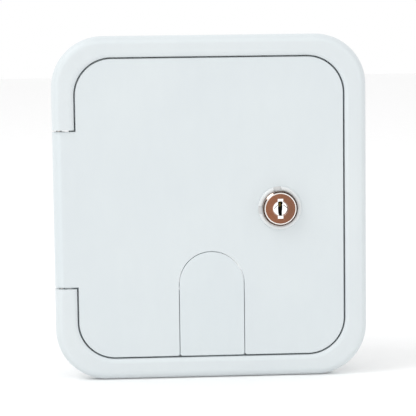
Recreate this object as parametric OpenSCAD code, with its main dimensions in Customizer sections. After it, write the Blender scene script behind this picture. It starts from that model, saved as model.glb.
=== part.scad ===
// Locking access hatch for a caravan's mains lead: a moulded surround with a
// side-hung door, a small arched lead flap in the foot of the door, and a
// quarter-turn key lock.
// Millimetres. The origin is the middle of the surround's back face, where it
// lies on the wall: X runs to the right as seen from outside, Y into the wall,
// Z up.

/* [Surround] */
// Overall width of the flange
frame_w = 166; // [164:1:176]
// Overall height of the flange
frame_h = 182; // [180:1:192]
// Radius of the flange's outer corners, seen from the front
frame_r = 27; // [24:0.5:30]
// How far the flange stands off the wall
flange_t = 9; // [8.6:0.1:10]
// Radius of the rounding along the flange's outer edge
edge_r = 4.5; // [3:0.1:5]
// Width of the slope along the flange's inner edge
slope_w = 2.7; // [1.5:0.1:3.5]
// Thickness of the ledge behind the door
ledge_t = 2.8; // [2:0.1:2.9]
// Depth of the collar that goes into the wall
collar_d = 32; // [20:1:60]
// Clear width inside the collar
collar_w = 119; // [110:1:120]
// Clear height inside the collar
collar_h = 136; // [120:1:138]
// Wall thickness of the collar
collar_t = 2; // [1.5:0.1:2.4]

/* [Door] */
// Width between the middles of the gaps left and right of the door
gap_w = 142; // [140:0.5:143]
// Height between the middles of the gaps over and under the door
gap_h = 159; // [156:0.5:160]
// Corner radius at the middle of the gap
gap_r = 19.7; // [16:0.1:22]
// Width of the gap between the door and the surround
door_gap = 0.8; // [0.6:0.05:1]
// Height of the door's face over the wall
face_h = 7.9; // [7.5:0.1:8.2]
// Thickness of the door panel
panel_t = 3; // [2.6:0.1:3.2]
// Chamfer around the back of the panel
back_chamfer = 2; // [1.5:0.1:2]
// Height of the hinge wing, between the middles of its two seams
wing_h = 83.3; // [70:0.1:90]

/* [Hinge] */
// Radius of the hinge barrel on the door
barrel_r = 3.7; // [3.5:0.05:3.8]
// Radius of the softer rounding on the front of the hinge wing
wing_r = 5.3; // [4.5:0.1:6]
// Radius of the hinge pin
pin_r = 1.5; // [1:0.1:1.8]
// Length of pin seated in the surround at each end
pin_seat = 8; // [5:0.5:10]
// Radial play between the pin and the barrel
pin_play = 0.05; // [0.02:0.01:0.1]

/* [Lead flap] */
// Width between the middles of the gaps beside the flap
flap_w = 34.6; // [30:0.2:38]
// Width of the gap around the flap
flap_gap = 0.3; // [0.3:0.05:0.8]
// Height of the centre of the arch, measured from the middle of the door
arch_z = -40.7; // [-44:0.1:-38]
// How far the flap's pegs lie behind the door's face
peg_depth = 2.3; // [2:0.1:2.4]
// Radius of the flap's two pegs
peg_r = 1.2; // [1:0.1:1.4]

/* [Lock] */
// Lock axis, to the right of the middle of the door
lock_x = 36.6; // [30:0.1:37]
// Lock axis, height from the middle of the door
lock_z = -0.8; // [-4:0.1:4]
// Outer radius of the ring around the lock
ring_r = 11.6; // [11:0.1:12.5]
// Height of the ring over the door's face
ring_h = 1.6; // [1.2:0.1:1.7]
// Outer radius of the face cap
cap_r = 9.35; // [9:0.05:9.5]
// Radius of the round recess in the face cap
recess_r = 3.85; // [3.5:0.05:4]
// Width of the keyway
key_w = 2.4; // [1.6:0.1:2.6]
// Height of the keyway
key_h = 8.2; // [7:0.1:8.6]
// Radius of the threaded barrel
thread_r = 7.9; // [7.5:0.1:8]
// Length of the cam, from the lock axis to its tip
cam_len = 22; // [20:0.5:22.5]

/* [Hidden] */
$fn = 72;

eps = 0.01;
fx = frame_w / 2;
fz = frame_h / 2;
// surround's opening, at the door
ox = gap_w / 2 + door_gap / 2;
oz = gap_h / 2 + door_gap / 2;
orad = gap_r + door_gap / 2;
// door's outline
dx = gap_w / 2 - door_gap / 2;
dz = gap_h / 2 - door_gap / 2;
drad = gap_r - door_gap / 2;
// collar
cx = collar_w / 2;
cz = collar_h / 2;
crad = 9;
// levels over the wall
back_h = face_h - panel_t;
rib_h = ledge_t + 0.3;
// hinge axis
hinge_x = -fx + barrel_r;
hinge_h = face_h - barrel_r;
wing_end = wing_h / 2 - door_gap / 2;
notch_end = wing_h / 2 + door_gap / 2;
pin_len = 2 * (notch_end + pin_seat);
// lead flap
cut_x = flap_w / 2 + flap_gap / 2;
flap_x = flap_w / 2 - flap_gap / 2;
peg_z = arch_z - 0.3;
peg_h = face_h - peg_depth;
// screw holes in the ledge
screw_x = 66;
screw_z = 56;
screw_r = 2.2;
// lock levels over the wall
ring_top = face_h + ring_h;
head_top = face_h + 1.7;
cap_low = head_top + 0.1;
cap_top = cap_low + 2.6;
cap_bevel_w = 1.25;
cap_bevel_h = 0.7;
plug_end = -7.8;
cam_t = 2.2;
strike_h = plug_end + 0.5;

// Everything is drawn lying on its back, with local Z towards the outside,
// and is then stood up against the wall.
module stand() { rotate([90, 0, 0]) children(); }

module at_lock() { translate([lock_x, lock_z, 0]) children(); }

// Rounded rectangle from squares and circles, so that its corners are arcs.
module rrect(hx, hz, r) {
    square([2 * (hx - r), 2 * hz], center = true);
    square([2 * hx, 2 * (hz - r)], center = true);
    for (sx = [-1, 1], sz = [-1, 1])
        translate([sx * (hx - r), sz * (hz - r)]) circle(r = r);
}

module slab(hx, hz, r, lo, hi) {
    translate([0, 0, lo]) linear_extrude(hi - lo) rrect(hx, hz, r);
}

// Rounded rectangle whose outline grows evenly from a at lo to a + grow at hi.
module flared(hx, hz, r, grow, lo, hi) {
    t = hi - lo;
    for (k = [0, 1])
        rotate([0, 0, 90 * k]) {
            a = k == 0 ? hx : hz;
            b = k == 0 ? hz : hx;
            rotate([90, 0, 0]) linear_extrude(2 * (b - r), center = true)
                polygon([[-a, lo], [a, lo], [a + grow, hi], [-a - grow, hi]]);
        }
    for (sx = [-1, 1], sz = [-1, 1])
        translate([sx * (hx - r), sz * (hz - r), lo])
            cylinder(h = t, r1 = r, r2 = r + grow);
}

// Carries a cross-section around a rounded rectangle; the section's x is the
// distance from the corner centres.
module around(hx, hz, r) {
    for (k = [0:3])
        rotate([0, 0, 90 * k])
            translate([(k % 2 == 0 ? hx : hz) - r, 0, 0])
                rotate([90, 0, 0])
                    linear_extrude(2 * ((k % 2 == 0 ? hz : hx) - r), center = true)
                        children();
    for (k = [0:3])
        translate([(k == 0 || k == 3 ? 1 : -1) * (hx - r),
                   (k == 0 || k == 1 ? 1 : -1) * (hz - r), 0])
            rotate([0, 0, 90 * k]) rotate_extrude(angle = 90) children();
}

// Cross-section of the flange before its opening is cut.
module flange_section() {
    u0 = 10;
    translate([u0, 0]) square([frame_r - u0, flange_t - edge_r]);
    translate([u0, 0]) square([frame_r - edge_r - u0, flange_t]);
    translate([frame_r - edge_r, flange_t - edge_r]) circle(r = edge_r);
}

module frame_solid() {
    difference() {
        union() {
            around(fx, fz, frame_r) flange_section();
            slab(ox + 1, oz + 1, orad + 1, 0, ledge_t);
            slab(cx + collar_t, cz + collar_t, crad + collar_t, -collar_d, ledge_t);
        }
        // opening for the door, and the slope around it
        slab(ox, oz, orad, ledge_t, flange_t + 1);
        flared(ox, oz, orad, slope_w * 2, face_h, face_h + 2 * (flange_t - face_h));
        // inside of the collar
        slab(cx, cz, crad, -collar_d - 1, ledge_t + 1);
        // hollow back of the flange, left solid beside the hinge
        difference() {
            slab(fx - 2.5, fz - 2.5, frame_r - 2.5, -1, flange_t - 2.5);
            slab(ox + 2.5, oz + 2.5, orad + 2.5, -2, flange_t);
            translate([-fx - 1, -notch_end - 12, -2])
                cube([fx - cx, 2 * (notch_end + 12), flange_t + 4]);
        }
        // notch for the hinge wing
        translate([-fx - 5, -notch_end, ledge_t])
            cube([fx + 5 - ox + eps, 2 * notch_end, flange_t + 5]);
        translate([-fx - 5, -notch_end, -1])
            cube([5 + 2 * barrel_r + 1.3, 2 * notch_end, flange_t + 5]);
        // seats for the hinge pin
        translate([hinge_x, pin_len / 2, hinge_h]) rotate([90, 0, 0])
            cylinder(r = pin_r, h = pin_len);
        // screw holes with countersinks
        for (sx = [-1, 1], sz = [-1, 1])
            translate([sx * screw_x, sz * screw_z, 0]) {
                translate([0, 0, -1]) cylinder(r = screw_r, h = ledge_t + 2);
                translate([0, 0, 1]) cylinder(r1 = screw_r, r2 = screw_r + 1.8, h = ledge_t - 1);
            }
    }
    // catch for the lock's cam, inside the collar
    translate([51.5, lock_z - 14, strike_h]) cube([cx + 1 - 51.5, 28, 3]);
    for (s = [-1, 1])
        translate([55.5, lock_z + s * 13 - 1, strike_h + 2]) cube([cx + 1 - 55.5, 2, 4]);
}

// Fillet left outside a quarter circle, for rounding a square corner.
module corner_bit(r) {
    difference() {
        translate([-eps, -eps]) square(r + eps);
        translate([r, r]) circle(r = r);
    }
}

// Cross-section of the hinge wing, with the barrel at its outer end.
module wing_section() {
    difference() {
        union() {
            translate([hinge_x, back_h]) square([-hinge_x - 60, panel_t]);
            translate([hinge_x, hinge_h]) circle(r = barrel_r);
        }
        difference() {
            translate([-fx - 2, face_h - wing_r]) square([2 + wing_r, wing_r + 2]);
            translate([-fx + wing_r, face_h - wing_r]) circle(r = wing_r);
        }
    }
}

module door_solid() {
    difference() {
        union() {
            slab(dx, dz, drad, back_h + back_chamfer, face_h);
            flared(dx - back_chamfer, dz - back_chamfer, drad - back_chamfer,
                   back_chamfer, back_h, back_h + back_chamfer);
            // hinge wing and barrel
            translate([0, wing_end, 0]) rotate([90, 0, 0])
                linear_extrude(2 * wing_end) wing_section();
            // rib around the back of the panel
            difference() {
                slab(67.5, 75.9, 16, rib_h, back_h + eps);
                slab(65.5, 73.9, 14, rib_h - 1, back_h + 1);
            }
            // rim around the flap's arch, with blocks for its pegs
            difference() {
                translate([0, arch_z, rib_h]) cylinder(r = cut_x + 2, h = back_h - rib_h + eps);
                translate([-30, arch_z - 30, rib_h - 1]) cube([60, 30, 5]);
            }
            for (s = [-1, 1])
                translate([s * (cut_x + 2.5) - 2.5, peg_z - 4, rib_h])
                    cube([5, 8, back_h - rib_h + eps]);
            for (s = [-1, 1])
                translate([s * (cut_x + 1) - 1, -dz + 3, rib_h])
                    cube([2, dz + arch_z - 3 + eps, back_h - rib_h + eps]);
        }
        // opening for the flap
        translate([0, arch_z, rib_h - 1]) cylinder(r = cut_x, h = 10);
        translate([-cut_x, -dz - 5, rib_h - 1]) cube([2 * cut_x, dz + 5 + arch_z, 10]);
        // rounded corners where that opening meets the door's foot
        for (s = [0, 1]) mirror([s, 0, 0])
            translate([cut_x, -dz, rib_h - 1]) linear_extrude(10) corner_bit(1.4);
        // holes for the flap's pegs
        translate([-cut_x - 3.6, peg_z, peg_h]) rotate([0, 90, 0])
            cylinder(r = peg_r + 0.05, h = 2 * cut_x + 7.2);
        // bore for the hinge pin
        translate([hinge_x, wing_end + 1, hinge_h]) rotate([90, 0, 0])
            cylinder(r = pin_r + pin_play, h = 2 * wing_end + 2);
        // hole for the lock, with two flats
        at_lock() translate([0, 0, back_h - 1]) linear_extrude(panel_t + 2)
            intersection() {
                circle(r = thread_r + 0.1);
                square([30, 2 * 6.7], center = true);
            }
    }
    // lips behind the flap's lower edges, which stop it swinging inwards
    for (s = [-1, 1])
        translate([s * (cut_x - 0.6) - 1.6, -dz + 3, rib_h])
            cube([3.2, dz - 3 + arch_z - 3.3, back_h - 0.2 - rib_h]);
}

module flap_solid() {
    difference() {
        union() {
            translate([0, arch_z, back_h]) cylinder(r = flap_x, h = panel_t);
            translate([-flap_x, -dz, back_h]) cube([2 * flap_x, dz + arch_z, panel_t]);
            // pegs and the rib that carries them
            translate([-flap_x - 3.2, peg_z, peg_h]) rotate([0, 90, 0])
                cylinder(r = peg_r, h = 2 * flap_x + 6.4);
            translate([-flap_x + 3, peg_z, peg_h]) rotate([0, 90, 0])
                cylinder(r = peg_r + 0.6, h = 2 * flap_x - 6);
        }
        for (s = [0, 1]) mirror([s, 0, 0])
            translate([-flap_x, -dz, back_h - 1]) linear_extrude(10) corner_bit(1.2);
    }
}

module ring_section() {
    intersection() {
        translate([cap_r + 0.05, face_h]) square([ring_r - cap_r - 0.05, ring_h]);
        translate([ring_r - 1.4, ring_top - 1.4 ]) union() {
            circle(r = 1.4);
            translate([-5, -5]) square([5, 6.4]);
            translate([-5, -5]) square([6.4, 5]);
        }
    }
}

module cap_section() {
    polygon([[0, cap_low], [cap_r, cap_low], [cap_r, cap_top - cap_bevel_h],
             [cap_r - cap_bevel_w, cap_top], [0, cap_top]]);
}

module frame() color([0.92, 0.94, 0.95]) stand() frame_solid();

module door() color([0.90, 0.93, 0.94]) stand() door_solid();

module hinge_pin() color([0.72, 0.73, 0.74]) stand()
    translate([hinge_x, pin_len / 2, hinge_h]) rotate([90, 0, 0])
        cylinder(r = pin_r, h = pin_len);

module cord_flap() color([0.89, 0.92, 0.93]) stand() flap_solid();

module lock_ring() color([0.95, 0.96, 0.96]) stand() at_lock()
    difference() {
        rotate_extrude() ring_section();
        for (a = [97, 184])
            rotate([0, 0, a]) translate([5, -2.1, face_h + 0.5]) cube([10, 4.2, 5]);
    }

module lock_body() color([0.70, 0.71, 0.73]) stand() at_lock()
    difference() {
        union() {
            translate([0, 0, face_h]) cylinder(r = cap_r - 0.15, h = head_top - face_h);
            translate([0, 0, plug_end + 0.8]) linear_extrude(face_h - plug_end - 0.8)
                intersection() {
                    circle(r = thread_r);
                    square([30, 2 * 6.6], center = true);
                }
        }
        translate([0, 0, plug_end]) cylinder(r = 5.65, h = 30);
    }

module lock_cap() color([0.55, 0.43, 0.37]) stand() at_lock()
    difference() {
        rotate_extrude() cap_section();
        translate([0, 0, cap_low - 1]) cylinder(r = recess_r, h = 5);
        translate([-1.45, -5.25, cap_top - 1.2]) cube([2.9, 10.5, 5]);
    }

module lock_plug() color([0.80, 0.81, 0.82]) stand() at_lock()
    difference() {
        translate([0, 0, plug_end]) cylinder(r = 5.6, h = cap_low - plug_end);
        translate([-key_w / 2, -key_h / 2, -2]) cube([key_w, key_h, 20]);
        translate([0, 0, plug_end - 1]) cylinder(r = 1.9, h = 5.3);
    }

module lock_nut() color([0.66, 0.67, 0.69]) stand() at_lock()
    difference() {
        translate([0, 0, back_h - 4]) cylinder(r = 12.7, h = 4, $fn = 6);
        translate([0, 0, back_h - 5]) cylinder(r = thread_r + 0.05, h = 6);
    }

module lock_cam() color([0.70, 0.70, 0.70]) stand() at_lock()
    difference() {
        union() {
            translate([0, 0, plug_end - cam_t]) cylinder(r = 8, h = cam_t);
            translate([0, cam_len - 7, plug_end - cam_t]) cylinder(r = 7, h = cam_t);
            translate([-7, 0, plug_end - cam_t]) cube([14, cam_len - 7, cam_t]);
        }
        translate([0, 0, plug_end - 5]) cylinder(r = 2.05, h = 10);
    }

module cam_screw() color([0.62, 0.63, 0.64]) stand() at_lock()
    difference() {
        union() {
            translate([0, 0, plug_end - cam_t]) cylinder(r = 1.9, h = cam_t + 4.2);
            translate([0, 0, plug_end - cam_t - 2.4]) cylinder(r = 4, h = 2.4);
        }
        translate([-3, -0.5, plug_end - cam_t - 3]) cube([6, 1, 1.6]);
        translate([-0.5, -3, plug_end - cam_t - 3]) cube([1, 6, 1.6]);
    }

frame();
door();
hinge_pin();
cord_flap();
lock_ring();
lock_body();
lock_cap();
lock_plug();
lock_nut();
lock_cam();
cam_screw();
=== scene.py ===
import math

import bmesh
import bpy
import numpy as np
from mathutils import Matrix, Vector


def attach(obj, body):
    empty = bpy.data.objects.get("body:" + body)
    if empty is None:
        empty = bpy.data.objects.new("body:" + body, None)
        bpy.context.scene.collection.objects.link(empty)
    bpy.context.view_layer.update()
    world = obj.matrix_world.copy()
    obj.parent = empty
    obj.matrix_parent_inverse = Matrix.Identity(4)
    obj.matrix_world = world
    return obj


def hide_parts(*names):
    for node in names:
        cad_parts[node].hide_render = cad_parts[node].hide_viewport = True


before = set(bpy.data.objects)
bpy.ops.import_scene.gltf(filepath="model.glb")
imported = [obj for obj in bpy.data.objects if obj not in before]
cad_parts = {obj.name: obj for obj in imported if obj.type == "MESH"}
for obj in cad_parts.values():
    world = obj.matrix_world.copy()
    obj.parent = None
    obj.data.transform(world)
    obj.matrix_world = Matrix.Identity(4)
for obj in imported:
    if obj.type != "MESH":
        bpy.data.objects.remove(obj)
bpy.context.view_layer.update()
scene = bpy.context.scene

# ---------------------------------------------------------------- dimensions
# Millimetres, as in the part's source. x runs to the right, z up, and h is the
# height over the wall, towards the viewer, so that world y = -h.
FX, FZ, FR = 83.0, 91.0, 27.0            # flange's outline
OX, OZ, OR = 71.4, 79.9, 20.1            # opening for the door
CX, CZ, CR = 59.5, 68.0, 9.0             # inside of the collar
DX, DZ, DR = 70.6, 79.1, 19.3            # door's outline
TOP, FACE, BACK, RIB, LEDGE = 9.0, 7.9, 4.9, 3.1, 2.8
EDGE, SLOPE = 4.5, 2.7
COLLAR_END = -32.0
NOTCH, WING = 42.05, 41.25
PIVOT_X, PIVOT_H = -79.3, 4.2
BARREL, WING_R = 3.7, 5.3
CUT, FLAP, ARCH, PEG_Z, PEG_H = 17.45, 17.15, -40.7, -41.0, 5.6
LX, LZ = 36.6, -0.8                      # lock axis
CAP_LOW, CAP_TOP, CAP_R, RECESS = 9.7, 12.3, 9.35, 3.85
RING_R, RING_TOP = 11.6, 9.5


# ---------------------------------------------------------------- mesh tools
def front(u, v, t):
    return (u * 0.001, -t * 0.001, v * 0.001)


def along_z(u, v, t):
    return (u * 0.001, -v * 0.001, t * 0.001)


def make(name, verts, faces):
    me = bpy.data.meshes.new(name)
    me.from_pydata([tuple(v) for v in verts], [], faces)
    me.validate()
    bm = bmesh.new()
    bm.from_mesh(me)
    bmesh.ops.recalc_face_normals(bm, faces=bm.faces)
    bm.to_mesh(me)
    bm.free()
    ob = bpy.data.objects.new(name, me)
    scene.collection.objects.link(ob)
    return ob


def stitch(name, rings, closed=False):
    """Closed solid from rings of equally many points; ends are capped unless the last ring joins the first."""
    n = len(rings[0])
    verts = [p for ring in rings for p in ring]
    faces = []
    count = len(rings) if closed else len(rings) - 1
    for k in range(count):
        a, b = k * n, ((k + 1) % len(rings)) * n
        for i in range(n):
            j = (i + 1) % n
            faces.append((a + i, a + j, b + j, b + i))
    if not closed:
        faces.append(tuple(range(n))[::-1])
        faces.append(tuple(range((len(rings) - 1) * n, len(rings) * n)))
    return make(name, verts, faces)


def rect_ring(hx, hz, r, h, n=28):
    pts = []
    for sx, sz, a0 in ((1, 1, 0), (-1, 1, 90), (-1, -1, 180), (1, -1, 270)):
        for i in range(n + 1):
            a = math.radians(a0 + 90 * i / n)
            pts.append(front(sx * (hx - r) + r * math.cos(a), sz * (hz - r) + r * math.sin(a), h))
    return pts


def arc(cu, cv, r, a0, a1, n, skip=0):
    out = []
    for i in range(skip, n + 1):
        a = math.radians(a0 + (a1 - a0) * i / n)
        out.append((cu + r * math.cos(a), cv + r * math.sin(a)))
    return out


def rounded(corners, step=9.0):
    """Closed outline with rounded corners, anticlockwise. Gives points and outward normals."""
    pts, nrm = [], []
    m = len(corners)
    for i in range(m):
        p = np.array(corners[i - 1][:2], float)
        q = np.array(corners[i][:2], float)
        s = np.array(corners[(i + 1) % m][:2], float)
        r = corners[i][2]
        d1 = (q - p) / np.linalg.norm(q - p)
        d2 = (s - q) / np.linalg.norm(s - q)
        turn = math.atan2(d1[0] * d2[1] - d1[1] * d2[0], float(d1 @ d2))
        sign = 1.0 if turn > 0 else -1.0
        t = r * math.tan(abs(turn) / 2)
        n1 = np.array((d1[1], -d1[0]))
        c = q - d1 * t - sign * r * n1
        a0 = math.atan2(n1[1], n1[0])
        steps = max(2, math.ceil(abs(math.degrees(turn)) / step))
        for k in range(steps + 1):
            a = a0 + turn * k / steps
            n = np.array((math.cos(a), math.sin(a)))
            pts.append(c + sign * r * n)
            nrm.append(n)
    return np.array(pts), np.array(nrm)


def slab(name, outline, profile, place=front):
    """Solid whose outline is moved outwards by s at height t, for each (s, t) of the profile."""
    pts, nrm = outline
    rings = [[place(p[0] + s * n[0], p[1] + s * n[1], t) for p, n in zip(pts, nrm)] for s, t in profile]
    return stitch(name, rings)


def turned(name, profile, origin, axis="h", n=96, closed=False):
    """Solid of revolution. The profile's points are (radius, position along the axis)."""
    rings = []
    for r, t in profile:
        ring = []
        for i in range(n):
            a = 2 * math.pi * i / n
            c, s = r * math.cos(a), r * math.sin(a)
            if axis == "h":
                ring.append(front(origin[0] + c, origin[1] + s, t))
            elif axis == "z":
                ring.append(along_z(origin[0] + c, origin[1] + s, t))
            else:
                ring.append(front(t, origin[0] + c, origin[1] + s))
        rings.append(ring)
    return stitch(name, rings, closed)


def block(name, x0, x1, z0, z1, h0, h1, r=0.25):
    """Box with rounded upright edges and softened faces."""
    o = rounded([(x0, z0, r), (x1, z0, r), (x1, z1, r), (x0, z1, r)], 30)
    return slab(name, o, [(-r, h0), (-0.3 * r, h0 + 0.3 * r), (0, h0 + r), (0, h1 - r), (-0.3 * r, h1 - 0.3 * r), (-r, h1)])


def settle(ob):
    """Bakes an object's modifiers into its mesh."""
    dg = bpy.context.evaluated_depsgraph_get()
    dg.update()
    me = bpy.data.meshes.new_from_object(ob.evaluated_get(dg), preserve_all_data_layers=True, depsgraph=dg)
    ob.modifiers.clear()
    old = ob.data
    ob.data = me
    me.name = ob.name
    if old.users == 0:
        bpy.data.meshes.remove(old)
    return ob


def combine(ob, tools, op):
    for tool in tools if isinstance(tools, (list, tuple)) else [tools]:
        m = ob.modifiers.new("cut", "BOOLEAN")
        m.operation = op
        m.solver = "EXACT"
        m.object = tool
        settle(ob)
        if not ob.data.polygons:
            raise RuntimeError("nothing is left of " + ob.name)
        me = tool.data
        bpy.data.objects.remove(tool)
        bpy.data.meshes.remove(me)
    return ob


def tidy(ob, dist=2e-6):
    bm = bmesh.new()
    bm.from_mesh(ob.data)
    bmesh.ops.remove_doubles(bm, verts=bm.verts, dist=dist)
    bmesh.ops.dissolve_degenerate(bm, edges=bm.edges, dist=dist)
    loose = [v for v in bm.verts if not v.link_faces]
    bmesh.ops.delete(bm, geom=loose, context="VERTS")
    bmesh.ops.recalc_face_normals(bm, faces=bm.faces)
    bm.to_mesh(ob.data)
    bm.free()
    return ob


def soften(ob, chosen, width, segments=3):
    """Rounds the convex edges for which chosen(edge) holds."""
    bm = bmesh.new()
    bm.from_mesh(ob.data)
    bm.normal_update()
    edges = [e for e in bm.edges if len(e.link_faces) == 2 and e.is_convex and chosen(e)]
    if edges:
        bmesh.ops.bevel(bm, geom=edges, offset=width * 0.001, offset_type="OFFSET", segments=segments,
                        profile=0.5, affect="EDGES", clamp_overlap=True)
    bm.to_mesh(ob.data)
    bm.free()
    return len(edges)


def shade(ob, angle=32.0):
    for p in ob.data.polygons:
        p.use_smooth = True
    ob.data.set_sharp_from_angle(angle=math.radians(angle))
    m = ob.modifiers.new("normals", "WEIGHTED_NORMAL")
    m.mode = "FACE_AREA"
    m.weight = 50
    m.keep_sharp = True
    return settle(ob)


# ---------------------------------------------------------------- materials
class Nodes:
    """Short way to build a node material."""

    def __init__(self, name):
        self.mat = bpy.data.materials.new(name)
        self.mat.use_nodes = True
        self.tree = self.mat.node_tree
        self.tree.nodes.clear()
        self.out = self.add("ShaderNodeOutputMaterial")
        self.bsdf = self.add("ShaderNodeBsdfPrincipled")
        self.link(self.bsdf.outputs[0], self.out.inputs["Surface"])
        self.coord = self.add("ShaderNodeTexCoord").outputs["Object"]

    def add(self, kind, **props):
        node = self.tree.nodes.new(kind)
        for k, v in props.items():
            setattr(node, k, v)
        return node

    def link(self, a, b):
        self.tree.links.new(a, b)

    def scaled(self, x, y, z, source=None):
        m = self.add("ShaderNodeMapping")
        m.inputs["Scale"].default_value = (x, y, z)
        self.link(source or self.coord, m.inputs["Vector"])
        return m.outputs["Vector"]

    def noise(self, scale, detail=3.0, rough=0.5, vector=None, distortion=0.0):
        n = self.add("ShaderNodeTexNoise")
        n.inputs["Scale"].default_value = scale
        n.inputs["Detail"].default_value = detail
        n.inputs["Roughness"].default_value = rough
        n.inputs["Distortion"].default_value = distortion
        self.link(vector or self.coord, n.inputs["Vector"])
        return n.outputs["Fac"]

    def ramp(self, fac, stops, mode="LINEAR"):
        r = self.add("ShaderNodeValToRGB")
        r.color_ramp.interpolation = mode
        el = r.color_ramp.elements
        while len(el) > 1:
            el.remove(el[-1])
        el[0].position, el[0].color = stops[0][0], (*stops[0][1], 1)
        for pos, col in stops[1:]:
            e = el.new(pos)
            e.color = (*col, 1)
        self.link(fac, r.inputs["Fac"])
        return r.outputs["Color"]

    def span(self, value, a, b, c, d):
        m = self.add("ShaderNodeMapRange")
        m.inputs["From Min"].default_value = a
        m.inputs["From Max"].default_value = b
        m.inputs["To Min"].default_value = c
        m.inputs["To Max"].default_value = d
        self.link(value, m.inputs["Value"])
        return m.outputs["Result"]

    def math(self, op, a, b=None, clamp=False):
        m = self.add("ShaderNodeMath", operation=op, use_clamp=clamp)
        for i, x in enumerate((a, b)):
            if x is None:
                continue
            if isinstance(x, (int, float)):
                m.inputs[i].default_value = x
            else:
                self.link(x, m.inputs[i])
        return m.outputs[0]

    def mix(self, fac, a, b, blend="MIX"):
        m = self.add("ShaderNodeMix", data_type="RGBA", blend_type=blend)
        for i, x in ((0, fac), (6, a), (7, b)):
            if isinstance(x, (int, float)):
                m.inputs[i].default_value = x
            elif isinstance(x, tuple):
                m.inputs[i].default_value = (*x, 1)
            else:
                self.link(x, m.inputs[i])
        return m.outputs[2]

    def bump(self, height, strength, distance, normal=None):
        b = self.add("ShaderNodeBump")
        b.inputs["Strength"].default_value = strength
        b.inputs["Distance"].default_value = distance
        self.link(height, b.inputs["Height"])
        if normal is not None:
            self.link(normal, b.inputs["Normal"])
        return b.outputs["Normal"]

    def set(self, **values):
        for k, v in values.items():
            socket = self.bsdf.inputs[k.replace("_", " ")]
            if isinstance(v, bpy.types.NodeSocket):
                self.link(v, socket)
            elif isinstance(v, tuple):
                socket.default_value = (*v, 1)
            else:
                socket.default_value = v
        return self.mat


def plastic(name, colour, rough, grain=0.5):
    """Satin moulded plastic: spark-eroded grain, flow variation, faint tone drift."""
    m = Nodes(name)
    drift = m.noise(22.0, 2.0, 0.5)
    flow = m.noise(160.0, 4.0, 0.55, m.scaled(1.0, 1.0, 0.35), 0.4)
    fine = m.noise(5200.0, 2.0, 0.6)
    mid = m.noise(1500.0, 3.0, 0.6)
    r, g, b = colour
    tone = m.ramp(drift, [(0.25, (r * 0.985, g * 0.987, b * 0.992)), (0.75, (min(1, r * 1.012), min(1, g * 1.010), min(1, b * 1.006)))])
    speck = m.ramp(flow, [(0.3, (0.985, 0.986, 0.988)), (0.7, (1.0, 1.0, 1.0))])
    base = m.mix(1.0, tone, speck, "MULTIPLY")
    height = m.math("ADD", m.math("MULTIPLY", fine, 0.6), m.math("MULTIPLY", mid, 0.4))
    normal = m.bump(height, grain, 0.000018)
    wave = m.bump(m.noise(38.0, 1.0, 0.4), 0.10, 0.0004, normal)
    return m.set(Base_Color=base, Roughness=m.span(m.math("ADD", m.math("MULTIPLY", mid, 0.5), m.math("MULTIPLY", drift, 0.5)), 0.25, 0.75, rough - 0.045, rough + 0.05),
                 IOR=1.53, Normal=wave)


def metal(name, dark, light, rough, scale=900.0, stretch=(1, 1, 1), polish=0.0):
    """Metal with a worked surface: streaks, patches of tone, small dents in the gloss."""
    m = Nodes(name)
    streak = m.noise(scale, 4.0, 0.65, m.scaled(*stretch))
    patch = m.noise(scale * 0.12, 3.0, 0.55, None, 0.6)
    fac = m.math("ADD", m.math("MULTIPLY", streak, 0.45), m.math("MULTIPLY", patch, 0.55))
    base = m.ramp(fac, [(0.30, dark), (0.68, light)])
    normal = m.bump(streak, 0.25 - 0.2 * polish, 0.00002)
    return m.set(Base_Color=base, Metallic=1.0, Roughness=m.span(fac, 0.3, 0.7, rough * 1.35, rough * 0.75), Normal=normal)


WHITE = plastic("white_satin_moulding", (0.700, 0.748, 0.765), 0.40)
WHITE_DOOR = plastic("white_satin_door", (0.692, 0.745, 0.764), 0.38)
WHITE_FLAP = plastic("white_satin_flap", (0.686, 0.742, 0.762), 0.38)
GLOSS = plastic("white_gloss_trim", (0.735, 0.760, 0.765), 0.16, 0.15)
ZINC = metal("satin_zinc", (0.46, 0.47, 0.49), (0.66, 0.66, 0.67), 0.34, 1400.0)
STEEL = metal("bright_steel", (0.50, 0.50, 0.50), (0.72, 0.72, 0.71), 0.26, 1600.0, (1, 1, 0.06))
CAM_STEEL = metal("pressed_steel", (0.46, 0.46, 0.46), (0.68, 0.68, 0.67), 0.30, 1500.0, (0.1, 1, 1))


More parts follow.
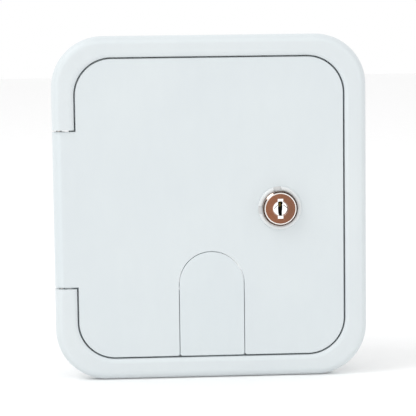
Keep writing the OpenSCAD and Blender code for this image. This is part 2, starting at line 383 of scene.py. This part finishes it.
def warm_chrome_with_painted_reflection():
    """Polished plating with a warm cast, faint turning marks and handling haze. The base colour also runs from warm
    and light at the cap's left to darker and cooler at its right: a painted reflection.
    """
    m = Nodes("warm_plating_with_painted_reflection")
    sep = m.add("ShaderNodeSeparateXYZ")
    shift = m.add("ShaderNodeVectorMath", operation="SUBTRACT")
    shift.inputs[1].default_value = (LX * 0.001, 0.0, LZ * 0.001)
    m.link(m.coord, shift.inputs[0])
    m.link(shift.outputs[0], sep.inputs[0])
    x, z = sep.outputs[0], sep.outputs[2]
    radius = m.math("SQRT", m.math("ADD", m.math("MULTIPLY", x, x), m.math("MULTIPLY", z, z)))
    turn = m.add("ShaderNodeCombineXYZ")
    m.link(m.math("MULTIPLY", radius, 1.0), turn.inputs[0])
    marks = m.noise(5200.0, 2.0, 0.6, turn.outputs[0])
    cloud = m.noise(230.0, 3.0, 0.55, m.scaled(1.0, 1.0, 0.55), 1.2)
    # painted reflection: the base colour runs from warm and light at the cap's left to darker and cooler at its
    # right
    painted_reflection_across = m.span(x, -0.0075, 0.0075, 0.0, 1.0)
    fac = m.math("ADD", m.math("MULTIPLY", cloud, 0.55), m.math("MULTIPLY", painted_reflection_across, 0.45))
    base = m.ramp(fac, [(0.25, (0.66, 0.50, 0.42)), (0.50, (0.58, 0.46, 0.41)), (0.78, (0.50, 0.44, 0.44))])
    base = m.mix(m.span(marks, 0.35, 0.65, 0.0, 0.22), base, (0.40, 0.33, 0.30))
    normal = m.bump(marks, 0.10, 0.00001)
    normal = m.bump(cloud, 0.22, 0.00012, normal)
    return m.set(Base_Color=base, Metallic=1.0, Roughness=m.span(cloud, 0.3, 0.7, 0.17, 0.10), Normal=normal)


# Bright plating: the plug's own finish, and on the face cap's top bead and notch floors a painted highlight.
def bright_chrome_and_painted_highlight(name="bright_plating_and_painted_highlight"):
    m = Nodes(name)
    haze = m.noise(900.0, 3.0, 0.55)
    base = m.ramp(haze, [(0.3, (0.80, 0.80, 0.79)), (0.7, (0.92, 0.92, 0.91))])
    return m.set(Base_Color=base, Metallic=1.0, Roughness=m.span(haze, 0.3, 0.7, 0.10, 0.06), Normal=m.bump(haze, 0.08, 0.00001))


# Near-black colour for the keyway and the plug's grooves: painted shade standing in for the shade deep in these
# cuts; noise varies it at random.
def painted_shade_slot():
    m = Nodes("painted_shade_dark_slot")
    shade_tone = m.noise(1800.0, 3.0, 0.6)
    base = m.ramp(shade_tone, [(0.35, (0.004, 0.004, 0.003)), (0.7, (0.018, 0.017, 0.012))])
    return m.set(Base_Color=base, Metallic=0.0, Roughness=m.span(shade_tone, 0.3, 0.7, 0.45, 0.65))


# Brass of the tumbler, made very dark as painted shade deep in the keyway.
def brass_darkened_as_painted_shade():
    m = Nodes("brass_with_painted_shade")
    tone = m.noise(1500.0, 3.0, 0.6)
    base = m.ramp(tone, [(0.35, (0.10, 0.085, 0.02)), (0.7, (0.22, 0.19, 0.05))])
    return m.set(Base_Color=base, Metallic=1.0, Roughness=m.span(tone, 0.3, 0.7, 0.4, 0.3))


CAP_METAL = warm_chrome_with_painted_reflection()
PLATING_AND_PAINTED_HIGHLIGHT = bright_chrome_and_painted_highlight()
PAINTED_SHADE = painted_shade_slot()
BRASS = brass_darkened_as_painted_shade()


def finish_piece(ob, body, materials, nodes, angle=32.0):
    tidy(ob)
    shade(ob, angle)
    ob.data.validate()
    mats = materials if isinstance(materials, (list, tuple)) else [materials]
    ob.data.materials.clear()
    for m in mats:
        ob.data.materials.append(m)
    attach(ob, body)
    if nodes:
        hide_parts(*nodes)
    return ob


# ---------------------------------------------------------------- surround
def A(s, h):
    return rect_ring(FX + s, FZ + s, FR + s, h)


def B(s, h):
    return rect_ring(OX + s, OZ + s, OR + s, h)


def C(s, h):
    return rect_ring(CX + s, CZ + s, CR + s, h)


def surround():
    rings = []

    def run(family, points):
        for s, h in points:
            rings.append(family(s, h))

    run(A, arc(-0.3, 0.3, 0.3, 270, 360, 3))
    run(A, arc(-EDGE, TOP - EDGE, EDGE, 0, 90, 18))
    lip = TOP - FACE
    run(B, [(s, TOP - lip * (1 - s / SLOPE) ** 2) for s in (2.7, 2.35, 2.0, 1.65, 1.3, 1.0, 0.7, 0.5, 0.3)])
    run(B, arc(0.7255, 7.543, 0.7255, 125.9, 180, 5, 1))
    run(B, arc(-0.5, LEDGE + 0.5, 0.5, 0, -90, 3))
    run(C, arc(0.4, LEDGE - 0.4, 0.4, 90, 180, 4))
    run(C, arc(0.3, COLLAR_END + 0.3, 0.3, 180, 270, 3))
    run(C, arc(1.7, COLLAR_END + 0.3, 0.3, 270, 360, 3))
    run(C, arc(2.8, -0.8, 0.8, 180, 90, 4))
    run(B, arc(2.2, 0.3, 0.3, 270, 360, 3))
    run(B, arc(3.3, 5.7, 0.8, 180, 90, 4))
    run(A, arc(-3.3, 5.7, 0.8, 90, 0, 4))
    run(A, arc(-2.2, 0.3, 0.3, 180, 270, 3))
    ob = stitch("surround_moulding", rings, closed=True)

    # solid beside the hinge
    fill = [block("t", -81.0, -73.4, s * 41.0 if s > 0 else -54.05, 54.05 if s > 0 else -41.0, 0.0, 6.9, 0.05) for s in (1, -1)]
    combine(ob, fill, "UNION")

    # notch for the hinge wing
    poly = [(-90, -1), (-74.3, -1), (-74.3, LEDGE), (-70.85, LEDGE), (-70.85, 14), (-90, 14)]
    tool = stitch("t", [[along_z(u, v, t) for u, v in poly] for t in (-NOTCH, NOTCH)])
    combine(ob, tool, "DIFFERENCE")
    tidy(ob)

    def seam(e):
        ends = [f for f in e.link_faces if abs(f.normal.z) > 0.999 and abs(abs(f.calc_center_median().z) - NOTCH * 0.001) < 2e-5]
        mid = (e.verts[0].co + e.verts[1].co) / 2
        return len(ends) == 1 and mid.x < -0.0709 and -mid.y > 0.0001
    soften(ob, seam, 0.38)

    # screw holes through the ledge, with countersinks
    for sx in (-1, 1):
        for sz in (-1, 1):
            tool = turned("t", [(2.2, -1), (2.2, 1.0), (4.0, 2.8), (4.5, 3.3)], (sx * 66.0, sz * 56.0), "h", 48)
            combine(ob, tool, "DIFFERENCE")

    # catch for the lock's cam, with its two ribs
    strike = -7.3
    combine(ob, block("t", 51.5, 60.5, LZ - 14, LZ + 14, strike, strike + 3.0, 0.4), "UNION")
    for s in (-1, 1):
        combine(ob, block("t", 55.5, 60.5, LZ + s * 13 - 1, LZ + s * 13 + 1, strike + 2, strike + 6, 0.3), "UNION")
    return finish_piece(ob, "surround", WHITE, ["frame"])


# ---------------------------------------------------------------- door
def D(s, h):
    return rect_ring(DX + s, DZ + s, DR + s, h)


def wing_outline():
    pts, nrm = [], []

    def put(p, n):
        pts.append(p)
        nrm.append(n)
    put((-62.0, BACK), (0, -1))
    put((-62.0, FACE), (0, 1))
    steps = 16
    for i in range(steps + 1):
        a = math.radians(90 + (170.5 - 90) * i / steps)
        n = (math.cos(a), math.sin(a))
        put((-FX + WING_R + WING_R * n[0], FACE - WING_R + WING_R * n[1]), n)
    for i in range(1, 25):
        a = math.radians(191.3 + (366.0 - 191.3) * i / 24)
        n = (math.cos(a), math.sin(a))
        put((PIVOT_X + BARREL * n[0], PIVOT_H + BARREL * n[1]), n)
    put((-75.35, BACK - 0.10), (0.3, -0.95))
    put((-74.9, BACK), (0, -1))
    return np.array(pts)[::-1], np.array(nrm)[::-1]


def opening_outline(extra=0.0):
    return rounded([(-24, -88, 0.5), (24, -88, 0.5), (24, -DZ - 0.02, 0.3), (CUT, -DZ - 0.02, 1.4),
                    (CUT, ARCH + CUT, CUT), (-CUT, ARCH + CUT, CUT), (-CUT, -DZ - 0.02, 1.4), (-24, -DZ - 0.02, 0.3)], 5)


def lobe(r, flat, n=96):
    return [(r * math.cos(2 * math.pi * i / n), max(-flat, min(flat, r * math.sin(2 * math.pi * i / n)))) for i in range(n)]


def door():
    rings = []
    for s, h in [(-2.25, BACK), (-1.95, BACK + 0.07), (-0.12, BACK + 1.86), (0.0, BACK + 2.1)] + arc(-0.45, FACE - 0.45, 0.45, 0, 90, 6):
        rings.append(D(s, h))
    ob = stitch("door_moulding", rings)

    # hinge wing with its barrel
    w = 0.38
    ends = [(-w * (1 - math.cos(math.radians(a))), WING - w + w * math.sin(math.radians(a))) for a in (0, 22.5, 45, 67.5, 90)]
    profile = [(s, -t) for s, t in reversed(ends)] + ends
    combine(ob, slab("t", wing_outline(), profile, along_z), "UNION")

    # rib around the back, and the rim beside the flap
    def rib(hx, hz, r, h):
        return rect_ring(hx, hz, r, h)
    rings = [rib(67.5, 75.9, 16, 5.2), rib(67.5, 75.9, 16, RIB + 0.3), rib(67.2, 75.6, 15.7, RIB),
             rib(65.8, 74.2, 14.3, RIB), rib(65.5, 73.9, 14, RIB + 0.3), rib(65.5, 73.9, 14, 5.2)]
    combine(ob, stitch("t", rings, closed=True), "UNION")
    rim = rounded([(-19.45, -76.1, 0.3), (19.45, -76.1, 0.3), (19.45, ARCH + 19.45, 19.45), (-19.45, ARCH + 19.45, 19.45)], 5)
    combine(ob, slab("t", rim, [(-0.3, RIB), (0, RIB + 0.3), (0, 5.2)]), "UNION")
    for s in (-1, 1):
        x = s * (CUT + 2.5)
        combine(ob, block("t", x - 2.5, x + 2.5, PEG_Z - 4, PEG_Z + 4, RIB, 5.4, 0.3), "UNION")

    # opening for the flap, with softened front edges
    r = 0.34
    flare = [(r - r * math.cos(math.radians(a)), FACE - r + r * math.sin(math.radians(a))) for a in (0, 18, 36, 54, 72, 90)]
    combine(ob, slab("t", opening_outline(), [(0, 1.5)] + flare + [(r, 12)]), "DIFFERENCE")

    # peg holes, pin bore, hole for the lock
    combine(ob, turned("t", [(1.25, -CUT - 3.6), (1.25, CUT + 3.6)], (PEG_Z, PEG_H), "x", 32), "DIFFERENCE")
    combine(ob, turned("t", [(1.56, -50), (1.56, 50)], (PIVOT_X, PIVOT_H), "z", 40), "DIFFERENCE")
    hole = lobe(8.0, 6.7)
    combine(ob, stitch("t", [[front(LX + u, LZ + v, t) for u, v in hole] for t in (2.0, 12.0)]), "DIFFERENCE")

    # shallow ejector marks on the back
    for x, z in ((-40, 45), (0, 45), (40, 45), (-40, 0), (0, 5), (-40, -45), (42, -45), (50, 22)):
        combine(ob, turned("t", [(2.6, BACK - 1), (2.6, BACK + 0.12), (2.3, BACK + 0.18)], (x, z), "h", 32), "DIFFERENCE")

    # lips behind the flap's lower edges
    for s in (-1, 1):
        x = s * (CUT - 0.6)
        combine(ob, block("t", x - 1.6, x + 1.6, -DZ + 3, -44.0, RIB, BACK - 0.2, 0.25), "UNION")
    return finish_piece(ob, "hatch_door", WHITE_DOOR, ["door"])


# ---------------------------------------------------------------- lead flap
def lead_flap():
    o = rounded([(-FLAP, -DZ, 1.2), (FLAP, -DZ, 1.2), (FLAP, ARCH + FLAP, FLAP), (-FLAP, ARCH + FLAP, FLAP)], 5)
    profile = arc(-0.25, BACK + 0.25, 0.25, 270, 360, 3) + arc(-0.34, FACE - 0.34, 0.34, 0, 90, 5)
    ob = slab("flap_moulding", o, profile)
    combine(ob, turned("t", [(0.9, -FLAP - 3.2), (1.2, -FLAP - 2.9), (1.2, FLAP + 2.9), (0.9, FLAP + 3.2)], (PEG_Z, PEG_H), "x", 32), "UNION")
    combine(ob, turned("t", [(1.5, -FLAP + 3), (1.8, -FLAP + 3.3), (1.8, FLAP - 3.3), (1.5, FLAP - 3)], (PEG_Z, PEG_H), "x", 32), "UNION")
    return finish_piece(ob, "lead_flap", WHITE_FLAP, ["cord_flap"])


# ---------------------------------------------------------------- lock
def trim_ring():
    inner = CAP_R + 0.05
    profile = [(inner, FACE), (RING_R - 0.15, FACE), (RING_R, FACE + 0.15), (RING_R, RING_TOP - 1.4)]
    profile += arc(RING_R - 1.4, RING_TOP - 1.4, 1.4, 0, 90, 10, 1)
    profile += [(inner + 0.2, RING_TOP), (inner + 0.06, RING_TOP - 0.06), (inner, RING_TOP - 0.2)]
    ob = turned("lock_trim_ring", profile, (LX, LZ), "h", 128, closed=True)
    for a in (97, 184):
        c, s = math.cos(math.radians(a)), math.sin(math.radians(a))
        o = rounded([(5, -2.1, 0.3), (16, -2.1, 0.3), (16, 2.1, 0.3), (5, 2.1, 0.3)], 30)
        pts = np.array([(LX + p[0] * c - p[1] * s, LZ + p[0] * s + p[1] * c) for p in o[0]])
        nrm = np.array([(n[0] * c - n[1] * s, n[0] * s + n[1] * c) for n in o[1]])
        combine(ob, slab("t", (pts, nrm), [(-0.1, FACE + 0.5), (0.0, FACE + 0.6), (0.0, 12), (0, 14)]), "DIFFERENCE")
    return finish_piece(ob, "hatch_door", GLOSS, ["lock_ring"])


def face_cap():
    profile = [(RECESS, CAP_LOW), (CAP_R - 0.15, CAP_LOW), (CAP_R, CAP_LOW + 0.15), (CAP_R, CAP_TOP - 0.95)]
    profile += [(CAP_R - 0.04, CAP_TOP - 0.82), (CAP_R - 0.14, CAP_TOP - 0.70)]
    profile += [(8.78, CAP_TOP - 0.36), (8.62, CAP_TOP - 0.24), (8.50, CAP_TOP - 0.12), (8.38, CAP_TOP - 0.03), (8.26, CAP_TOP)]
    profile += [(8.14, CAP_TOP - 0.01), (8.04, CAP_TOP - 0.07), (7.95, CAP_TOP - 0.11), (7.85, CAP_TOP - 0.12)]
    profile += [(4.20, CAP_TOP - 0.12), (4.00, CAP_TOP - 0.18), (RECESS, CAP_TOP - 0.36), (RECESS, CAP_TOP - 1.2)]
    ob = turned("lock_face_cap", profile, (LX, LZ), "h", 160, closed=True)
    # key notches above and below the recess, with sloping floors
    for s in (1, -1):
        verts = []
        for x in (-1.45, 1.45):
            for z, h in ((3.0, CAP_TOP - 1.25), (5.25, CAP_TOP - 0.45), (5.25, 14.0), (3.0, 14.0)):
                verts.append(front(LX + x, LZ + s * z, h))
        tool = make("t", verts, [(0, 1, 2, 3), (7, 6, 5, 4), (0, 4, 5, 1), (1, 5, 6, 2), (2, 6, 7, 3), (3, 7, 4, 0)])
        combine(ob, tool, "DIFFERENCE")
    finish_piece(ob, "lock_core", [CAP_METAL, PLATING_AND_PAINTED_HIGHLIGHT], ["lock_cap"], 28)
    # The top bead at r 8.0 to 8.55 and the notch floors take the bright plating: a painted highlight on the
    # one-piece cap, whose face keeps the warm plating.
    for p in ob.data.polygons:
        x, h, z = p.center.x * 1000 - LX, -p.center.y * 1000, p.center.z * 1000 - LZ
        if abs(x) < 1.449 and 3.3 < abs(z) < 5.25 and h < CAP_TOP - 0.3:
            p.material_index = 1
        if 7.99 < math.hypot(x, z) < 8.55 and h > CAP_TOP - 0.2:
            p.material_index = 1
    return ob


def keyed_plug():
    profile = [(5.6, -7.8), (5.6, CAP_LOW - 0.02), (RECESS - 0.02, CAP_LOW - 0.02), (RECESS - 0.02, 10.85), (RECESS - 0.12, 10.93),
               (3.45, 10.90), (2.6, 10.52), (1.8, 10.20), (1.0, 9.94), (0.3, 9.80)]
    ob = turned("lock_keyed_plug", profile, (LX, LZ), "h", 96)
    # keyway with a warding step
    way = [(-0.55, -4.1), (0.75, -4.1), (0.95, -1.2), (1.15, -0.6), (1.15, 1.5), (1.0, 2.2), (1.25, 2.6), (1.15, 3.5), (0.6, 4.05), (-0.7, 4.05), (-1.2, 3.6), (-1.2, 1.9), (-1.05, 1.2), (-1.2, 0.4), (-1.1, -2.4)]
    combine(ob, stitch("t", [[front(LX + u, LZ + v, t) for u, v in way] for t in (4.5, 14.0)]), "DIFFERENCE")
    # two fine grooves across the dish
    for (x0, z0), (x1, z1), wd in (((1.6, 1.95), (3.75, 0.25), 0.34), ((-1.3, 1.75), (-3.3, 0.0), 0.30)):
        d = Vector((x1 - x0, z1 - z0)).normalized()
        n = Vector((-d.y, d.x)) * wd / 2
        quad = [(x0 - n.x, z0 - n.y), (x1 - n.x, z1 - n.y), (x1 + n.x, z1 + n.y), (x0 + n.x, z0 + n.y)]
        combine(ob, stitch("t", [[front(LX + u, LZ + v, t) for u, v in quad] for t in (9.3, 14.0)]), "DIFFERENCE")
    finish_piece(ob, "lock_core", [PLATING_AND_PAINTED_HIGHLIGHT, PAINTED_SHADE], ["lock_plug"], 30)
    # faces in the keyway, on the groove walls and on the groove floors get the near-black painted shade
    for p in ob.data.polygons:
        x, h, z = p.center.x * 1000 - LX, -p.center.y * 1000, p.center.z * 1000 - LZ
        inside = abs(x) < 1.3 and abs(z) < 4.2 and (abs(p.normal.y) < 0.5 or h < 6.0) and -7 < h
        grooved = h < 10.9 and h > 9.0 and abs(p.normal.y) < 0.3 and math.hypot(x, z) < 3.7 and not inside
        if inside or grooved or (9.25 < h < 9.35):
            p.material_index = 1
    return ob


def tumbler():
    ob = block("lock_tumbler", LX - 0.85, LX + 0.55, LZ + 0.9, LZ + 2.9, 7.2, 8.3, 0.15)
    finish_piece(ob, "lock_core", BRASS, [])
    return ob


def threaded_body():
    n = 120
    flat = 6.6
    rings = []

    def put(radius, h, wave=0.0):
        ring = []
        for i in range(n):
            a = 2 * math.pi * i / n
            r = radius
            if wave:
                f = (h / 1.25 - i / n) % 1.0
                r = radius - wave * abs(2 * f - 1)
            u, v = r * math.cos(a), r * math.sin(a)
            ring.append(front(LX + u, LZ + max(-flat, min(flat, v)) if radius < 8.5 else LZ + v, h))
        rings.append(ring)
    put(5.65, -7.0)
    put(7.2, -7.0)
    h = -6.8
    while h < 7.2:
        put(7.88, h, 0.55)
        h += 1.25 / 8
    put(7.88, 7.6)
    put(7.88, 7.9)
    put(8.9, 7.9)
    put(9.2, 8.1)
    put(9.2, 9.4)
    put(9.0, 9.6)
    put(5.9, 9.6)
    put(5.65, 9.35)
    ob = stitch("lock_threaded_body", rings, closed=True)
    return finish_piece(ob, "hatch_door", ZINC, ["lock_body"], 40)


def hex_nut():
    n = 144
    flat = 12.7 * math.cos(math.radians(30))
    rings = []
    for limit, h in ((11.2, 0.9), (12.9, 1.75), (12.9, 4.3), (12.0, 4.9)):
        ring = []
        for i in range(n):
            a = 2 * math.pi * i / n
            k = (math.degrees(a) % 60) - 30
            r = min(flat / math.cos(math.radians(k)), limit, 12.62)
            ring.append(front(LX + r * math.cos(a), LZ + r * math.sin(a), h))
        rings.append(ring)
    for r, h in ((8.5, 4.9), (7.95, 4.35), (7.95, 1.45), (8.5, 0.9)):
        rings.append([front(LX + r * math.cos(2 * math.pi * i / n), LZ + r * math.sin(2 * math.pi * i / n), h) for i in range(n)])
    ob = stitch("lock_hex_nut", rings, closed=True)
    return finish_piece(ob, "hatch_door", ZINC, ["lock_nut"], 20)


def cam_arm():
    pts, nrm = [], []

    def put(x, z, a):
        pts.append((LX + x, LZ + z))
        nrm.append((math.cos(a), math.sin(a)))
    put(7.0, 5.2, 0.0)
    for i in range(25):
        a = math.pi * i / 24
        put(7 * math.cos(a), 15 + 7 * math.sin(a), a)
    put(-7.0, 5.2, math.pi)
    for i in range(33):
        a = math.radians(156 + (384 - 156) * i / 32)
        put(8 * math.cos(a), 8 * math.sin(a), a)
    r = 0.35
    profile = arc(-r, -10.0 + r, r, 270, 360, 3) + arc(-r, -7.8 - r, r, 0, 90, 3)
    ob = slab("lock_cam_arm", (np.array(pts), np.array(nrm)), profile)
    combine(ob, turned("t", [(2.05, -14), (2.05, -4)], (LX, LZ), "h", 48), "DIFFERENCE")
    # stamped stiffening groove
    o = rounded([(LX - 2.2, LZ + 7.0, 2.0), (LX + 2.2, LZ + 7.0, 2.0), (LX + 2.2, LZ + 18.0, 2.0), (LX - 2.2, LZ + 18.0, 2.0)], 10)
    combine(ob, slab("t", o, [(1.2, -11.0), (0.4, -10.0), (0.0, -9.75), (-0.5, -9.55)]), "DIFFERENCE")
    return finish_piece(ob, "lock_core", CAM_STEEL, ["lock_cam"], 30)


def fixing_screw():
    head = [(0.4, -12.4)] + [(x, -12.4 + 0.75 * (x / 3.4) ** 2.6) for x in (0.8, 1.6, 2.3, 2.9, 3.4)] + [(3.75, -11.3), (3.95, -10.8), (4.0, -10.2), (3.9, -10.0), (1.9, -10.0), (1.9, -3.8), (1.4, -3.6), (0.4, -3.6)]
    ob = turned("cam_fixing_screw", head, (LX, LZ), "h", 72)
    for w, l in ((0.55, 2.4), (2.4, 0.55)):
        o = rounded([(LX - l, LZ - w, 0.3), (LX + l, LZ - w, 0.3), (LX + l, LZ + w, 0.3), (LX - l, LZ + w, 0.3)], 30)
        combine(ob, slab("t", o, [(0.2, -13.0), (0.0, -12.2), (-0.2, -11.0)]), "DIFFERENCE")
    return finish_piece(ob, "lock_core", ZINC, ["cam_screw"], 30)


surround()
door()
lead_flap()
trim_ring()
face_cap()
keyed_plug()
tumbler()
threaded_body()
hex_nut()
cam_arm()
fixing_screw()
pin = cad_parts["hinge_pin"]
pin.data.materials.clear()
pin.data.materials.append(STEEL)

# ---------------------------------------------------------------- studio
floor_mat = Nodes("pale_floor")
grain = floor_mat.noise(40.0, 3.0, 0.5)
floor_mat.set(Base_Color=floor_mat.ramp(grain, [(0.3, (0.955, 0.955, 0.955)), (0.7, (0.97, 0.97, 0.97))]), Roughness=0.9, Specular_IOR_Level=0.1)
bpy.ops.mesh.primitive_plane_add(size=12.0, location=(0, 0, -FZ * 0.001 - 0.0001))
floor = bpy.context.object
floor.name = "floor"
floor.data.materials.append(floor_mat.mat)
floor.visible_glossy = False


def area(name, where, aim, size, power, colour):
    data = bpy.data.lights.new(name, "AREA")
    data.shape = "DISK"
    data.size = size
    data.energy = power
    data.color = colour
    ob = bpy.data.objects.new(name, data)
    scene.collection.objects.link(ob)
    ob.location = where
    ob.rotation_euler = (Vector(aim) - Vector(where)).to_track_quat("-Z", "Y").to_euler()
    return ob


area("key", (-1.5, -0.7, 1.9), (0, 0, 0), 1.4, 16.0, (0.97, 0.99, 1.0))

world = bpy.data.worlds.new("studio")
scene.world = world
world.use_nodes = True
wt = world.node_tree
wt.nodes.clear()
w_out = wt.nodes.new("ShaderNodeOutputWorld")
w_mix = wt.nodes.new("ShaderNodeMixShader")
w_flat = wt.nodes.new("ShaderNodeBackground")
w_flat.inputs["Color"].default_value = (1, 1, 1, 1)
w_flat.inputs["Strength"].default_value = 1.0
w_gloss = wt.nodes.new("ShaderNodeBackground")
w_path = wt.nodes.new("ShaderNodeLightPath")
w_coord = wt.nodes.new("ShaderNodeTexCoord")
w_sep = wt.nodes.new("ShaderNodeSeparateXYZ")
w_neg = wt.nodes.new("ShaderNodeMath")
w_neg.operation = "MULTIPLY"
w_neg.inputs[1].default_value = -1.0
w_acos = wt.nodes.new("ShaderNodeMath")
w_acos.operation = "ARCCOSINE"
w_deg = wt.nodes.new("ShaderNodeMath")
w_deg.operation = "DIVIDE"
w_deg.inputs[1].default_value = math.pi
w_ramp = wt.nodes.new("ShaderNodeValToRGB")
stops = [(0.0, (0.50, 0.27, 0.17)), (0.085, (0.52, 0.28, 0.18)), (0.115, (1.5, 1.5, 1.5)), (0.29, (1.4, 1.4, 1.4)), (0.35, (0.10, 0.085, 0.075)), (0.52, (0.16, 0.14, 0.13)), (0.62, (0.8, 0.8, 0.8)), (1.0, (1.0, 1.0, 1.0))]
el = w_ramp.color_ramp.elements
while len(el) > 1:
    el.remove(el[-1])
el[0].position, el[0].color = stops[0][0], (*stops[0][1], 1)
for pos, col in stops[1:]:
    e = el.new(pos)
    e.color = (*col, 1)
wt.links.new(w_coord.outputs["Generated"], w_sep.inputs[0])
wt.links.new(w_sep.outputs[1], w_neg.inputs[0])
wt.links.new(w_neg.outputs[0], w_acos.inputs[0])
wt.links.new(w_acos.outputs[0], w_deg.inputs[0])
wt.links.new(w_deg.outputs[0], w_ramp.inputs["Fac"])
wt.links.new(w_ramp.outputs["Color"], w_gloss.inputs["Color"])
wt.links.new(w_path.outputs["Is Glossy Ray"], w_mix.inputs[0])
wt.links.new(w_flat.outputs[0], w_mix.inputs[1])
wt.links.new(w_gloss.outputs[0], w_mix.inputs[2])
wt.links.new(w_mix.outputs[0], w_out.inputs["Surface"])
scene.view_settings.view_transform = "Standard"
scene.view_settings.look = "None"

# ---------------------------------------------------------------- camera
right = Vector((0.99798263, -0.06230406, -0.01220179))
up = Vector((0.01845642, 0.10082256, 0.99473322))
ahead = Vector((0.0607457, 0.99295167, -0.10176907))
place = Vector((-0.05760, -0.92465, 0.09385))
data = bpy.data.cameras.new("camera")
data.sensor_width = 36.0
data.lens = 36.0 * 1746.0 / 416.0
data.clip_start = 0.05
data.clip_end = 50.0
cam = bpy.data.objects.new("camera", data)
scene.collection.objects.link(cam)
cam.matrix_world = Matrix(((right.x, up.x, -ahead.x, place.x), (right.y, up.y, -ahead.y, place.y), (right.z, up.z, -ahead.z, place.z), (0, 0, 0, 1)))
scene.camera = cam
